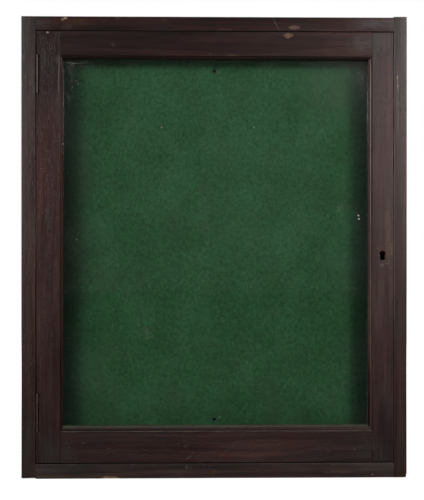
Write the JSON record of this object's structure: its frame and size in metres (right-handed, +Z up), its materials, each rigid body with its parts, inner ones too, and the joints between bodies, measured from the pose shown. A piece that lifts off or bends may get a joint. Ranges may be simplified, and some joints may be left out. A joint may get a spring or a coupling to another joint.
{
  "type": "wall display case",
  "caption": "Shallow glazed wall case with a lockable hinged door over a cloth-lined back, for showing small flat items.",
  "frame": {"origin": "on the wall plane at the back of the case, at the middle of its width and close to the middle of its height", "axes": "+X to the right seen from the front, +Y into the wall, +Z up; the glazed door faces -Y"},
  "size_m": [0.508, 0.0665, 0.6087],
  "materials": {
    "mahogany": "dark polished mahogany, worn and a little bloomed",
    "softwood": "bare planed softwood, darkened with age",
    "baize": "woven and felted green wool",
    "glass": "clear old sheet glass, a little dusty",
    "brass": "tarnished",
    "steel": "dull, lightly rusted"
  },
  "bodies": {
    "case": {"case_side_left": "mahogany", "case_side_right": "mahogany", "case_top": "mahogany", "case_bottom": "mahogany", "back_board_left": "softwood", "back_board_centre": "softwood", "back_board_right": "softwood", "back_screws": "steel", "baize_lining": "baize", "door_stop_top": "mahogany", "door_stop_bottom": "mahogany", "door_stop_right": "mahogany", "stop_pins": "steel", "hinge_upper_case_leaf": "brass", "hinge_upper_pin": "brass", "hinge_lower_case_leaf": "brass", "hinge_lower_pin": "brass", "hinge_case_screws": "brass", "strike_plate": "brass", "strike_screws": "brass"},
    "door": {"door_stile_left": "mahogany", "door_stile_right": "mahogany", "door_rail_top": "mahogany", "door_rail_bottom": "mahogany", "glass_pane": "glass", "glazing_bead_top": "mahogany", "glazing_bead_bottom": "mahogany", "glazing_bead_left": "mahogany", "glazing_bead_right": "mahogany", "bead_pins": "steel", "hinge_upper_door_leaf": "brass", "hinge_lower_door_leaf": "brass", "hinge_door_screws": "brass", "lock_plate": "brass", "lock_cap": "brass", "lock_ward": "brass", "key_pin": "brass", "lock_screws": "brass"},
    "bolt": {"lock_bolt": "brass", "bolt_spring": "steel"}
  },
  "joints": [
    {"name": "door_swing", "type": "hinge", "parent": "case", "child": "door", "pos_m": [-0.2332, -0.0643, 0], "axis": [0, 0, -1], "range_deg": [0, 180]},
    {"name": "bolt_throw", "type": "slide", "parent": "door", "child": "bolt", "axis": [1, 0, 0], "range_m": [0, 0.007]}
  ]
}
